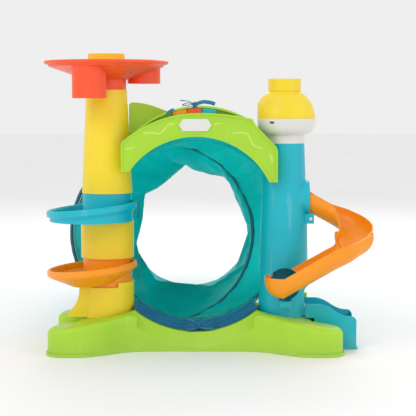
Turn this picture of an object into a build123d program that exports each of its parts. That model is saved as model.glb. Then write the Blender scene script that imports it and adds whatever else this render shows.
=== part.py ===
from build123d import *
import os
from math import cos, pi, radians, sin, sqrt

# Toddler activity set: a moulded base carries two ball towers joined by an arch,
# and a fabric crawl tunnel starts between the towers and runs out behind them.
# Frame: X to the right, Y away from the front, Z up, millimetres. The origin is
# on the floor, midway between the tower axes.

# ---- Driving dimensions -------------------------------------------------
clearance = 0.3            # gap between curved faces of neighbouring pieces
spigot_gap = 0.4           # radial gap of a stacked joint
ball_bore = 76             # free width that a 64 mm play ball needs

tower_x = 221.5            # each tower's axis, left and right of the middle

# Base
foot_half_width = 360
foot_half_depth = 152
waist_half_depth = 82
waist_flat = 110           # half length of the straight front edge
foot_start = 300           # where the front edge has swept out to the foot
foot_corner_r = 40
notch_x = 292              # inner end of the bay between a front and a back foot
notch_half = 60
foot_top = 62
horn_x = 141
horn_top = 98
base_wall = 5
base_edge_r = 14
deck_thick = 9
lip_height = 7
lip_out = 4
lip_start = 245
seat_z = 78                # where the towers stand on the base
socket_depth = 16
screw_circle = 46
screw_hole_r = 2.2
screw_r = 2

# Saddle for the tunnel
saddle_r = 241
saddle_z = 284
bevel_r = 205
bevel_z = 218
bevel_depth = 26

# Left tower
foot_r = 66
hub_r = 61
hub_wall = 4
chute_top = 155
collar_bottom = 226
collar_top = 319
collar_r = 66
left_column_bottom = 387
left_column_top = 643
left_column_r0 = 63
left_column_r1 = 50.5
column_wall = 3.5
joint_overlap = 14

tray_r = 112
tray_offset_x = -37.5
tray_offset_y = -30
tray_tilt = 6
tray_wall = 3.5
lower_tray_z = 208
upper_tray_z = 356

# Funnel dish on the left tower
dish_r = 154
dish_top = 714
dish_neck_r = 49
dish_neck_top = 668
tube_r = 45.5
tube_top = 732
tube_wall = 3.2
spout_r = 41.5
spout_reach = 101
spout_angles = (-109.5, 26)
spout_bottoms = (622, 659)

# Right tower
right_r0 = 63
right_seam = 299
right_r1 = 58.5
right_top = 511
right_r2 = 50
front_hole_z = 164
side_hole_z = 375
hole_r = 40
bowl_bottom = 532
bowl_top = 572
bowl_r = 80
dome_r = 76.5
dome_flat = 66             # the dome and bowl are cut flat this far left of the axis
dome_top = 641
inlet_r = 40.75
inlet_top = 670

# Spiral trough
trough_r = 42.5
trough_wall = 3
trough_rise = 8            # straight side above the half round
trough_turn_r = 53
trough_turn_x = 343
trough_start_x = 286
trough_end_x = 214
trough_start_z = 337       # outside bottom at the column
trough_end_z = 139         # outside bottom at the closed end
trough_split = 115         # degrees of the turn where the two halves meet
trough_lap = 12
tab_end = 295
tab_hole_x = 287
tab_hole_z = 323

# Exit ramp
ramp_half = 55
ramp_end_x = 400
ramp_top = 113
ramp_low = 82
ramp_wall = 4

# Arch
arch_x = 2
arch_z = 330
arch_r = 199
arch_front_y = -84
arch_depth = 20
arch_wall = 4
arch_rim = 5
arch_left = -181
arch_right = 201
back_y = 2
back_thick = 8
post_r = 6
post_places = ((-115, 520), (-45, 560), (60, 560), (150, 510))

# Arc rail with its three sliders
rail_x = 11
rail_z = 373
rail_r = 231
rail_thick = 5
rail_left = -42            # degrees from the top, to the left
rail_right = 36
flange_y = -52
flange_thick = 6
slot_r = 213
slot_half = 3
slider_span = 8.8          # degrees
slider_places = (-12.8, -3.4, 6.1)
slider_names = ("slider_orange", "slider_coral", "slider_cyan")

# Tunnel
hoop_r = 240
wire_r = 4
fabric_thick = 1.5
mouth_y = 92
mouth_r = saddle_r - 5.4
apron_front = -40          # the hem lies this far forward over the saddle
apron_back = 84
apron_top = 118
apron_half = 150
hoops = {
    "hoop_front": (0, mouth_y, saddle_z, mouth_r),
    "hoop_second": (-90, 170, 266, hoop_r),
    "hoop_third": (-72, 430, 248, hoop_r),
    "hoop_fourth": (-46, 690, 244, hoop_r),
    "hoop_rear": (-22, 950, 244, hoop_r),
}
waist = (-30, 300, 262, 204)   # where the slack cloth hangs in behind the second hoop
tie_knot_y = -20
ribbon = 9


def cone_radius(z, z0, r0, z1, r1):
    """Outside radius at height z of a column that tapers from r0 to r1."""
    return r0 + (r1 - r0) * (z - z0) / (z1 - z0)


def upright(x):
    """The vertical plane through x that faces the front, and its turning axis."""
    return Plane((x, 0, 0), x_dir=(1, 0, 0), z_dir=(0, -1, 0)), Axis((x, 0, 0), (0, 0, 1))


def turned(x, points, mode=Mode.ADD):
    """A profile of (radius, height) points, turned about a tower's axis."""
    plane, axis = upright(x)
    with BuildSketch(plane) as profile:
        Polygon(*points, align=None)
    revolve(profile.sketch, axis=axis, mode=mode)


def tapered_tube(x, z0, r0, z1, r1, wall):
    """A hollow tapered column, added to the part being built."""
    turned(x, ((r0 - wall, z0), (r0, z0), (r1, z1), (r1 - wall, z1)))


def tapered_plug(x, z0, r0, z1, r1, mode):
    """A solid tapered column, used to trim what fits round it."""
    turned(x, ((0, z0), (r0, z0), (r1, z1), (0, z1)), mode=mode)


def ring(x, y, z0, z1, outer, inner, mode=Mode.ADD):
    """An upright ring between two heights."""
    with BuildSketch(Plane.XY.offset(z0)) as face:
        with Locations((x, y)):
            Circle(outer)
            Circle(inner, mode=Mode.SUBTRACT)
    extrude(face.sketch, amount=z1 - z0, mode=mode)


def disc(x, y, z0, z1, radius, mode=Mode.ADD):
    """An upright solid cylinder between two heights."""
    with BuildSketch(Plane.XY.offset(z0)) as face:
        with Locations((x, y)):
            Circle(radius)
    extrude(face.sketch, amount=z1 - z0, mode=mode)


def side_profile(points, y0, y1, mode=Mode.ADD):
    """A polygon in X and Z, extruded from y0 back to y1."""
    with BuildSketch(Plane.XZ.offset(-y1)) as face:
        Polygon(*points, align=None)
    extrude(face.sketch, amount=y1 - y0, mode=mode)


def barrel(x, z, y0, y1, radius, mode=Mode.ADD):
    """A solid cylinder along Y, from y0 back to y1."""
    with BuildSketch(Plane.XZ.offset(-y1)) as face:
        with Locations((x, z)):
            Circle(radius)
    extrude(face.sketch, amount=y1 - y0, mode=mode)


# ---- Base ---------------------------------------------------------------
slope = (horn_top - foot_top) / (foot_half_width - horn_x)


def base_outline():
    """The base's footprint: four round feet joined by a narrow waist."""
    with BuildSketch() as outline:
        with BuildLine():
            Polyline(
                (notch_x, 0), (0, 0), (0, -waist_half_depth), (waist_flat, -waist_half_depth)
            )
            halfway = ((waist_flat + foot_start) / 2, -(waist_half_depth + foot_half_depth) / 2)
            out_sweep = TangentArc((waist_flat, -waist_half_depth), halfway, tangent=(1, 0))
            TangentArc(halfway, (foot_start, -foot_half_depth), tangent=out_sweep % 1)
            Polyline(
                (foot_start, -foot_half_depth),
                (foot_half_width, -foot_half_depth),
                (foot_half_width, -notch_half),
                (notch_x, -notch_half),
                (notch_x, 0),
            )
        make_face()
        mirror(about=Plane.YZ)
        mirror(about=Plane.XZ)
        tips = [v for v in outline.vertices() if abs(v.X) > foot_half_width - 1]
        fillet(tips, foot_corner_r)
    return outline.sketch


def half_block(inset, drop):
    """The right half of the base under one sloping deck; the waist is at X = 0."""
    with BuildSketch() as face:
        offset(base_outline(), amount=-inset, kind=Kind.INTERSECTION)
        with Locations((-foot_half_width, 0)):
            Rectangle(2 * foot_half_width, 3 * foot_half_depth, mode=Mode.SUBTRACT)
    top = horn_top + slope * horn_x - drop
    extrude(face.sketch, amount=top)
    side_profile(
        ((0, top), (2 * foot_half_width, top - 2 * foot_half_width * slope), (2 * foot_half_width, top)),
        -2 * foot_half_depth,
        2 * foot_half_depth,
        mode=Mode.SUBTRACT,
    )


with BuildPart() as base_room:
    half_block(base_wall, deck_thick)
    mirror(about=Plane.YZ)
    barrel(0, saddle_z, -foot_half_depth, foot_half_depth, saddle_r + base_wall, Mode.SUBTRACT)
    room_front = bevel_depth + base_wall - waist_half_depth
    barrel(0, bevel_z, -foot_half_depth, room_front, bevel_r + base_wall, Mode.SUBTRACT)

with BuildPart() as base_frame:
    half_block(0, 0)
    deck = base_frame.faces().filter_by(lambda f: f.normal_at().Z > 0.5)
    fillet([e for e in deck.edges() if e.center().X > 1], base_edge_r)
    mirror(about=Plane.YZ)
    add(base_room.part, mode=Mode.SUBTRACT)
    # Stiffening ribs under the middle; the cross rib stands on the floor.
    with BuildSketch():
        Rectangle(12, 2 * waist_half_depth - 4)
        Rectangle(2 * notch_x - 4, base_wall)
    extrude(amount=seat_z - socket_depth)
    # Socket cups and upright lugs behind the towers.
    for side in (-1, 1):
        disc(side * tower_x, 0, seat_z - socket_depth - base_wall, seat_z, hub_r + base_wall)
        with BuildSketch():
            with Locations((side * (tower_x + 54), foot_r + 8)):
                RectangleRounded(22, 13, 4)
        extrude(amount=122)
    # Saddle, with a bevelled front that opens towards the crawling child.
    barrel(0, saddle_z, -foot_half_depth, foot_half_depth, saddle_r, Mode.SUBTRACT)
    with BuildSketch(Plane.XZ.offset(waist_half_depth - bevel_depth)):
        with Locations((0, saddle_z)):
            Circle(saddle_r)
    with BuildSketch(Plane.XZ.offset(waist_half_depth + 4)):
        with Locations((0, bevel_z - 8)):
            Circle(bevel_r + 2)
    loft(mode=Mode.SUBTRACT)
    for side in (-1, 1):
        disc(side * tower_x, 0, seat_z, horn_top + 2, foot_r + 9, Mode.SUBTRACT)
        disc(side * tower_x, 0, seat_z - socket_depth, seat_z, hub_r + spigot_gap, Mode.SUBTRACT)
    # Screw holes through the floor of each socket.
    for side in (-1, 1):
        with BuildSketch():
            with Locations((side * tower_x, 0)):
                with PolarLocations(screw_circle, 2, start_angle=90):
                    Circle(screw_hole_r)
        extrude(amount=seat_z, mode=Mode.SUBTRACT)
    # Flared lip round the feet.
    with BuildSketch():
        offset(base_outline(), amount=lip_out, kind=Kind.ARC)
        offset(base_outline(), amount=-base_wall, kind=Kind.INTERSECTION, mode=Mode.SUBTRACT)
        Rectangle(2 * lip_start, 2 * foot_half_depth + 40, mode=Mode.SUBTRACT)
        Rectangle(2 * foot_half_width + 40, 2 * notch_half, mode=Mode.SUBTRACT)
    extrude(amount=lip_height)
base_frame.part.label = "base_frame"
export_step(base_frame.part, "parts/base_frame.step")

with BuildPart() as base_screws:
    screw_bottom = seat_z - socket_depth - base_wall
    for side in (-1, 1):
        with BuildSketch(Plane.XY.offset(screw_bottom - 3)):
            with Locations((side * tower_x, 0)):
                with PolarLocations(screw_circle, 2, start_angle=90):
                    Circle(4.5)
        extrude(amount=3)
        with BuildSketch(Plane.XY.offset(screw_bottom)):
            with Locations((side * tower_x, 0)):
                with PolarLocations(screw_circle, 2, start_angle=90):
                    Circle(screw_r)
        extrude(amount=base_wall + 5)
base_screws.part.label = "base_screws"
export_step(base_screws.part, "parts/base_screws.step")


def tower_foot(x, outer):
    """A tower's stub that drops into the base's socket, with a floor and screw holes."""
    disc(x, 0, seat_z - socket_depth, seat_z + 2, hub_r)
    disc(x, 0, seat_z, seat_z + 2, outer)
    with BuildSketch(Plane.XY.offset(seat_z - socket_depth)) as holes:
        with Locations((x, 0)):
            with PolarLocations(screw_circle, 2, start_angle=90):
                Circle(screw_r + 0.1)
    extrude(holes.sketch, amount=7, mode=Mode.SUBTRACT)


# ---- Left tower ---------------------------------------------------------
left = -tower_x
chute_half = ball_bore / 2 + 6

with BuildPart() as chute_base:
    tower_foot(left, foot_r)
    disc(left, 0, seat_z, chute_top, foot_r)
    # The near and far cheeks of the chute sweep out to the left as they fall.
    with BuildSketch(Plane.XZ.offset(-chute_half - column_wall)):
        with BuildLine():
            cheek = Line((left, chute_top), (left - foot_r - 1, chute_top))
            Spline(
                cheek @ 1,
                (left - foot_r - 8, 118),
                (left - foot_r - 33, seat_z + 2),
                tangents=((0, -1), (-0.55, -0.83)),
            )
            Polyline((left - foot_r - 33, seat_z + 2), (left, seat_z + 2), (left, chute_top))
        make_face()
    extrude(amount=2 * (chute_half + column_wall))
    # Taller key on the inner side of the sleeve.
    with BuildSketch(Plane.XY.offset(chute_top)):
        with Locations((left, 0)):
            Circle(foot_r)
        with Locations((left - 35, 0)):
            Rectangle(130, 3 * foot_r, mode=Mode.SUBTRACT)
    extrude(amount=11)
    # Open the sleeve and the chute above the ramp.
    with BuildSketch(Plane.XZ.offset(-foot_r)) as ramp_air:
        Polygon(
            (left - 140, seat_z + 2),
            (left - foot_r - 33, seat_z + 4),
            (left + foot_r, seat_z + 22),
            (left + foot_r, chute_top + 12),
            (left - hub_r - 1, chute_top + 12),
            (left - hub_r - 1, chute_top - 5),
            (left - 140, chute_top - 5),
            align=None,
        )
    with BuildPart(mode=Mode.PRIVATE) as sleeve_air:
        disc(left, 0, seat_z + 2, chute_top + 12, hub_r + spigot_gap)
    with BuildPart(mode=Mode.PRIVATE) as chute_air:
        with BuildSketch():
            with Locations((left - 70, 0)):
                Rectangle(140, 2 * chute_half)
        extrude(amount=200)
        add(sleeve_air.part)
        extrude(ramp_air.sketch, amount=2 * foot_r, mode=Mode.INTERSECT)
    add(chute_air.part, mode=Mode.SUBTRACT)
chute_base.part.label = "chute_base"
export_step(chute_base.part, "parts/chute_base.step")


def tray_frame(z):
    """The tilted plane of a tray's rim, and its own turning axis."""
    lean = radians(tray_tilt)
    centre = (left + tray_offset_x, tray_offset_y, z)
    along = (cos(lean), 0, sin(lean))
    up = (-sin(lean), 0, cos(lean))
    return Plane(centre, x_dir=along, z_dir=(0, -1, 0)), Axis(centre, up)


def tray(z, depth, floor_r):
    """A tilted dish with a rolled lip, added to the part being built."""
    plane, axis = tray_frame(z)
    inner = tray_r - 10
    with BuildSketch(plane) as section:
        with BuildLine():
            Polyline(
                (0, -depth),
                (floor_r, -depth),
                (inner - 3, -16),
                (inner, -4),
                (inner + 3, 0),
                (tray_r - 3, 0),
                (tray_r, -3),
                (tray_r, -14),
                (tray_r - 3, -14),
                (inner + tray_wall, -16 - tray_wall),
                (floor_r + 1, -depth - tray_wall),
                (0, -depth - tray_wall),
                (0, -depth),
            )
        make_face()
    revolve(section.sketch, axis=axis)


def hub_window(angle, z0, z1, width):
    """A doorway through a tower's hub wall, facing the given way."""
    a = radians(angle)
    out = (cos(a), sin(a), 0)
    origin = (left + 35 * cos(a), 35 * sin(a), (z0 + z1) / 2)
    with BuildSketch(Plane(origin, x_dir=(-sin(a), cos(a), 0), z_dir=out)) as door:
        RectangleRounded(width, z1 - z0, 12)
    extrude(door.sketch, amount=hub_r + 2 - 35, mode=Mode.SUBTRACT)


with BuildPart() as lower_tray:
    tray(lower_tray_z, 44, 52)
    disc(left, 0, chute_top - joint_overlap, collar_bottom + joint_overlap, hub_r)
    disc(
        left,
        0,
        chute_top - joint_overlap,
        collar_bottom + joint_overlap,
        hub_r - hub_wall,
        Mode.SUBTRACT,
    )
    hub_window(135, 162, collar_bottom, ball_bore - 8)
lower_tray.part.label = "lower_tray"
export_step(lower_tray.part, "parts/lower_tray.step")

with BuildPart() as tower_collar:
    ring(left, 0, collar_bottom, collar_top, collar_r, hub_r + spigot_gap)
tower_collar.part.label = "tower_collar"
export_step(tower_collar.part, "parts/tower_collar.step")

drop_x = left + tray_offset_x - 56
with BuildPart() as upper_tray:
    tray(upper_tray_z, 27, 60)
    disc(left, 0, collar_top - joint_overlap, left_column_bottom, hub_r)
    # Skirt under the dish, flat at the foot.
    with BuildPart(mode=Mode.PRIVATE) as skirt:
        tray_x = left + tray_offset_x
        ring(tray_x, tray_offset_y, collar_top + clearance, upper_tray_z, tray_r - 9, tray_r - 12)
        plane, axis = tray_frame(upper_tray_z - 12)
        with BuildSketch(Plane(axis.position, z_dir=axis.direction)):
            Circle(2 * tray_r)
        extrude(amount=100, mode=Mode.SUBTRACT)
    add(skirt.part)
    ring(drop_x, tray_offset_y, collar_top + clearance, 330, ball_bore / 2 + 3, ball_bore / 2)
    disc(left, 0, collar_top - joint_overlap, left_column_bottom, hub_r - hub_wall, Mode.SUBTRACT)
    disc(drop_x, tray_offset_y, collar_top - 10, upper_tray_z - 2, ball_bore / 2 - 6, Mode.SUBTRACT)
    hub_window(135, 331, 384, ball_bore - 8)
    ring(left, 0, left_column_bottom - 4, left_column_bottom, hub_r - hub_wall, 44)
    ring(left, 0, left_column_bottom - 4, left_column_bottom + joint_overlap, 57.5, 44)
upper_tray.part.label = "upper_tray"
export_step(upper_tray.part, "parts/upper_tray.step")


def ball_ramp(x, z_high, z_low, heading, radius, thick):
    """A tilted disc that turns a falling ball out to one side; it stands on a round skirt."""
    with BuildSketch(Plane((x, 0, 0), x_dir=heading, z_dir=(heading[1], -heading[0], 0))) as slab:
        Polygon(
            (-radius, z_high),
            (radius, z_low),
            (radius, z_low - thick),
            (-radius, z_high - thick),
            align=None,
        )
    extrude(slab.sketch, amount=radius, both=True)
    with BuildSketch(Plane.XY.offset(z_low - thick)) as bound:
        with Locations((x, 0)):
            Circle(radius)
    extrude(bound.sketch, amount=z_high - z_low + thick, mode=Mode.INTERSECT)


with BuildPart() as upper_hub_ramp:
    ball_ramp(left, 350, 330, (-sqrt(0.5), sqrt(0.5), 0), hub_r - hub_wall - 0.1, 6)
upper_hub_ramp.part.label = "upper_hub_ramp"
export_step(upper_hub_ramp.part, "parts/upper_hub_ramp.step")

with BuildPart() as left_column:
    tapered_tube(
        left, left_column_bottom, left_column_r0, left_column_top, left_column_r1, column_wall
    )
    ring(left, 0, left_column_top - 24, left_column_top, left_column_r1 - 2, tube_r + 0.2)
left_column.part.label = "left_column"
export_step(left_column.part, "parts/left_column.step")

# ---- Funnel dish --------------------------------------------------------
spouts = [
    (left + spout_reach * cos(radians(a)), spout_reach * sin(radians(a)), z)
    for a, z in zip(spout_angles, spout_bottoms)
]
dish_inside = ((0, 672), (52, 672), (135, 702), (141, 706), (146, 714), (0, 714))

with BuildPart() as funnel_dish:
    turned(
        left,
        (
            (0, 668),
            (50, 668),
            (137, 698),
            (142, 700),
            (146, 706),
            (152, 706),
            (dish_r, 708),
            (dish_r, 712),
            (152, dish_top),
            (0, dish_top),
        ),
    )
    for sx, sy, sz in spouts:
        disc(sx, sy, sz, 700, spout_r)
    disc(left, 0, left_column_top, 680, dish_neck_r)
    turned(left, dish_inside, Mode.SUBTRACT)
    for sx, sy, sz in spouts:
        disc(sx, sy, sz, dish_top, spout_r - tube_wall, Mode.SUBTRACT)
    ring(left, 0, left_column_top, 676, dish_neck_r, tube_r)
    disc(left, 0, left_column_top, dish_top, tube_r + 0.1, Mode.SUBTRACT)
funnel_dish.part.label = "funnel_dish"
export_step(funnel_dish.part, "parts/funnel_dish.step")

with BuildPart() as funnel_tube:
    ring(left, 0, left_column_top - 24, tube_top, tube_r, tube_r - tube_wall)
    top_rim = funnel_tube.edges().group_by(Axis.Z)[-1]
    fillet(top_rim, 1.2)
funnel_tube.part.label = "funnel_tube"
export_step(funnel_tube.part, "parts/funnel_tube.step")

# ---- Right tower --------------------------------------------------------
right = tower_x
side_door_top = 152
with BuildPart() as right_column_lower:
    tower_foot(right, right_r0)
    tapered_tube(right, seat_z, right_r0, right_seam, right_r1, column_wall)
    ring(right, 0, right_seam - 12, right_seam, right_r1 - 2, right_r1 - 7)
    ring(right, 0, right_seam - 2, right_seam + 12, right_r1 - column_wall - 1, right_r1 - 7)
    ring(right, 0, 93, 97, cone_radius(95, seat_z, right_r0, right_seam, right_r1) - 3, 52)
    # Bracket under the end of the trough.
    side_profile(
        ((right - 15, 109), (right + 15, 109), (right + 15, 131), (right - 15, 131)), -84, -58
    )
    with BuildPart(mode=Mode.PRIVATE) as lower_air:
        tapered_plug(
            right,
            seat_z + 2,
            right_r0 - column_wall,
            right_seam,
            right_r1 - column_wall,
            Mode.ADD,
        )
        ring(right, 0, 93, 97, 70, 52, Mode.SUBTRACT)
        ring(right, 0, right_seam - 12, right_seam, 70, right_r1 - 7, Mode.SUBTRACT)
    add(lower_air.part, mode=Mode.SUBTRACT)
    barrel(right, front_hole_z, -90, 0, hole_r, Mode.SUBTRACT)
    with BuildSketch(Plane.YZ.offset(right)):
        with Locations((0, (seat_z + 6 + side_door_top) / 2)):
            RectangleRounded(ball_bore, side_door_top - seat_z - 6, 14)
    extrude(amount=80, mode=Mode.SUBTRACT)
right_column_lower.part.label = "right_column_lower"
export_step(right_column_lower.part, "parts/right_column_lower.step")

with BuildPart() as right_column_upper:
    tapered_tube(right, right_seam, right_r1, right_top, right_r2, column_wall)
    # Raised ring round the side hole, and the tab that holds the trough.
    with BuildSketch(Plane.YZ.offset(right + 30)):
        with Locations((0, side_hole_z)):
            Circle(hole_r + 4)
    extrude(amount=32)
    side_profile(((right + 50, 311), (tab_end, 311), (tab_end, 336), (right + 50, 336)), -26, -20)
    with BuildPart(mode=Mode.PRIVATE) as upper_air:
        tapered_plug(
            right, right_seam, right_r1 - column_wall, right_top, right_r2 - column_wall, Mode.ADD
        )
    add(upper_air.part, mode=Mode.SUBTRACT)
    with BuildSketch(Plane.YZ.offset(right)):
        with Locations((0, side_hole_z)):
            Circle(hole_r)
    extrude(amount=90, mode=Mode.SUBTRACT)
    barrel(tab_hole_x, tab_hole_z, -30, -15, screw_hole_r, Mode.SUBTRACT)
    ring(right, 0, 328, 331, cone_radius(330, right_seam, right_r1, right_top, right_r2) - 3, 46)
    ring(right, 0, right_top - 12, right_top, right_r2 - 3, right_r2 - 7)
right_column_upper.part.label = "right_column_upper"
export_step(right_column_upper.part, "parts/right_column_upper.step")

lower_ramp_r = cone_radius(120, seat_z, right_r0, right_seam, right_r1) - column_wall - 0.2
with BuildPart() as lower_ball_ramp:
    ball_ramp(right, 117, 103, (1, 0, 0), lower_ramp_r, 6)
lower_ball_ramp.part.label = "lower_ball_ramp"
export_step(lower_ball_ramp.part, "parts/lower_ball_ramp.step")

upper_ramp_r = cone_radius(357, right_seam, right_r1, right_top, right_r2) - column_wall - 0.2
with BuildPart() as upper_ball_ramp:
    ball_ramp(right, 357, 337, (1, 0, 0), upper_ramp_r, 6)
upper_ball_ramp.part.label = "upper_ball_ramp"
export_step(upper_ball_ramp.part, "parts/upper_ball_ramp.step")


def flat_cut(builder_bottom, builder_top):
    """Cut what stands out past the flat on the left of the dome and bowl."""
    with BuildSketch(Plane.XY.offset(builder_bottom)) as slab:
        with Locations((right - dome_flat - 50, 0)):
            Rectangle(100, 300)
    extrude(slab.sketch, amount=builder_top - builder_bottom, mode=Mode.SUBTRACT)


with BuildPart() as bowl:
    plane, axis = upright(right)
    with BuildSketch(plane):
        with BuildLine():
            Polyline((0, right_top), (right_r2, right_top), (right_r2 - 0.5, bowl_bottom))
            Spline(
                (right_r2 - 0.5, bowl_bottom),
                (70, bowl_bottom + 10),
                (bowl_r, bowl_top),
                tangents=((1, 0.05), (0.15, 1)),
            )
            Polyline((bowl_r, bowl_top), (0, bowl_top), (0, right_top))
        make_face()
    revolve(axis=axis)
    flat_cut(right_top, bowl_top)
    turned(
        right,
        (
            (0, right_top - 1),
            (42, right_top - 1),
            (42, bowl_bottom + 3),
            (60, bowl_bottom + 9),
            (0, bowl_bottom + 9),
        ),
        Mode.SUBTRACT,
    )
    with BuildPart(mode=Mode.PRIVATE) as bowl_air:
        turned(right, ((0, 541), (60, 541), (72, 554), (76, bowl_top), (0, bowl_top)))
        flat_cut(right_top, bowl_top + 1)
        with BuildSketch(Plane.XY.offset(right_top)):
            with Locations((right - dome_flat + 2, 0)):
                Rectangle(8, 300)
        extrude(amount=80, mode=Mode.SUBTRACT)
    add(bowl_air.part, mode=Mode.SUBTRACT)
    ring(right, 0, right_top - 11, right_top + 4, right_r2 - 7.2, right_r2 - 10)
    # Slot that the dome's snap tab shows through.
    snap = Plane((right, 0, 563), x_dir=(1, 0, 0), z_dir=(-0.45, -0.893, 0))
    with BuildSketch(snap):
        SlotOverall(13, 5.4)
    extrude(amount=100, mode=Mode.SUBTRACT)
bowl.part.label = "bowl"
export_step(bowl.part, "parts/bowl.step")

with BuildPart() as dome_cap:
    with BuildSketch(plane):
        with BuildLine():
            Polyline((0, bowl_top), (dome_r, bowl_top), (dome_r, bowl_top + 3))
            ThreePointArc((dome_r, bowl_top + 3), (64, 614), (36, dome_top))
            Polyline((36, dome_top), (0, dome_top), (0, bowl_top))
        make_face()
    revolve(axis=axis)
    turned(
        right,
        ((0, 638), (inlet_r - 2, 638), (inlet_r, dome_top), (inlet_r, inlet_top), (0, inlet_top)),
    )
    with BuildPart(mode=Mode.PRIVATE) as dome_air:
        turned(
            right,
            ((0, bowl_top), (dome_r - 3, bowl_top), (dome_r - 4, 580), (60, 612), (36, 634), (0, 634)),
        )
        flat_cut(bowl_top - 1, 700)
        with BuildSketch(Plane.XY.offset(bowl_top)):
            with Locations((right - dome_flat + 1.5, 0)):
                Rectangle(3, 300)
        extrude(amount=90, mode=Mode.SUBTRACT)
        disc(right, 0, bowl_top, inlet_top, inlet_r - 3)
    add(dome_air.part, mode=Mode.SUBTRACT)
    flat_cut(bowl_top - 1, 700)
    # Locating skirt and the snap tab that drops into the bowl.
    with BuildPart(mode=Mode.PRIVATE) as skirt_ring:
        ring(right, 0, bowl_top - 4, bowl_top + 3, dome_r - 2.2, dome_r - 5)
        with BuildSketch(Plane.XY.offset(bowl_top - 10)):
            with Locations((right - dome_flat - 44, 0)):
                Rectangle(100, 300)
        extrude(amount=30, mode=Mode.SUBTRACT)
    add(skirt_ring.part)
dome_cap.part.label = "dome_cap"
export_step(dome_cap.part, "parts/dome_cap.step")


# ---- Spiral trough ------------------------------------------------------
def trough_section(origin, heading, grow):
    """The round-bottomed trough section, square to the way the ball runs."""
    outer = trough_r + grow
    inner = outer - trough_wall
    side = (-heading[1], heading[0], 0)
    with BuildSketch(Plane(origin, x_dir=side, z_dir=(heading[0], heading[1], 0))) as section:
        with BuildLine():
            left_side = Line((-outer, trough_rise), (-outer, 0))
            ThreePointArc(left_side @ 1, (0, -outer), (outer, 0))
            Polyline((outer, 0), (outer, trough_rise), (inner, trough_rise), (inner, 0))
            ThreePointArc((inner, 0), (0, -inner), (-inner, 0))
            Polyline((-inner, 0), (-inner, trough_rise), (-outer, trough_rise))
        make_face()
    return section.sketch


turn_length = pi * trough_turn_r
run_in = trough_turn_x - trough_start_x
run_out = trough_turn_x - trough_end_x
fall = (trough_start_z - trough_end_z) / (run_in + turn_length + run_out)


def trough_station(s):
    """Place and heading of the trough's centre, a distance s along it."""
    z = trough_start_z + trough_r - fall * s
    if s <= run_in:
        return (trough_start_x + s, 0, z), (1, 0)
    if s <= run_in + turn_length:
        a = (s - run_in) / trough_turn_r
        x = trough_turn_x + trough_turn_r * sin(a)
        y = -trough_turn_r + trough_turn_r * cos(a)
        return (x, y, z), (cos(a), -sin(a))
    x = trough_turn_x - (s - run_in - turn_length)
    return (x, -2 * trough_turn_r, z), (-1, 0)


def trough(s0, s1, grow, count):
    """A length of trough, lofted through evenly spaced sections."""
    faces = []
    for i in range(count + 1):
        place, heading = trough_station(s0 + (s1 - s0) * i / count)
        faces += trough_section(place, heading, grow).faces()
    loft(faces)


split_s = run_in + trough_turn_r * radians(trough_split)
whole_s = run_in + turn_length + run_out
cup_grow = trough_wall + clearance

with BuildPart() as spiral_upper:
    trough(0, split_s + trough_lap, 0, 12)
    tapered_plug(
        right, right_seam, right_r1 + clearance, right_top, right_r2 + clearance, Mode.SUBTRACT
    )
    with BuildSketch(Plane.YZ.offset(right + 30)):
        with Locations((0, side_hole_z)):
            Circle(hole_r + 4 + clearance)
    extrude(amount=32 + clearance, mode=Mode.SUBTRACT)
    # Tab that is screwed to the tower.
    tab_start = right + 62 + 2 * clearance
    side_profile(
        ((tab_start, 315), (tab_end, 315), (tab_end, 345), (tab_start, 345)), clearance - 20, -16
    )
    barrel(tab_hole_x, tab_hole_z, -30, -15, screw_hole_r, Mode.SUBTRACT)
spiral_upper.part.label = "spiral_upper"
export_step(spiral_upper.part, "parts/spiral_upper.step")

with BuildPart() as spiral_lower:
    trough(split_s, whole_s, cup_grow, 12)
    # Rounded closed end.
    end_place = trough_station(whole_s)[0]
    end_r = trough_r + cup_grow
    end_plane = Plane(end_place, x_dir=(0, -1, 0), z_dir=(-1, 0, 0))
    with BuildSketch(end_plane):
        with BuildLine():
            cup = CenterArc((0, 0), end_r, 180, 90)
            Line(cup @ 1, (0, -end_r + trough_wall))
            CenterArc((0, 0), end_r - trough_wall, 180, 90)
            Polyline(
                (-end_r + trough_wall, 0),
                (-end_r + trough_wall, trough_rise),
                (-end_r, trough_rise),
                (-end_r, 0),
            )
        make_face()
    revolve(axis=Axis(end_place, (0, 0, 1)), revolution_arc=180)
    # The far wall is open where the ball rolls on into the tower.
    tapered_plug(right, seat_z, right_r0 + clearance, right_seam, right_r1 + clearance, Mode.SUBTRACT)
    barrel(right, front_hole_z, -75, 0, hole_r, Mode.SUBTRACT)
spiral_lower.part.label = "spiral_lower"
export_step(spiral_lower.part, "parts/spiral_lower.step")

with BuildPart() as trough_screws:
    barrel(tab_hole_x, tab_hole_z, -29, -26, 4)
    barrel(tab_hole_x, tab_hole_z, -26, -16, screw_r)
trough_screws.part.label = "trough_screws"
export_step(trough_screws.part, "parts/trough_screws.step")

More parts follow.
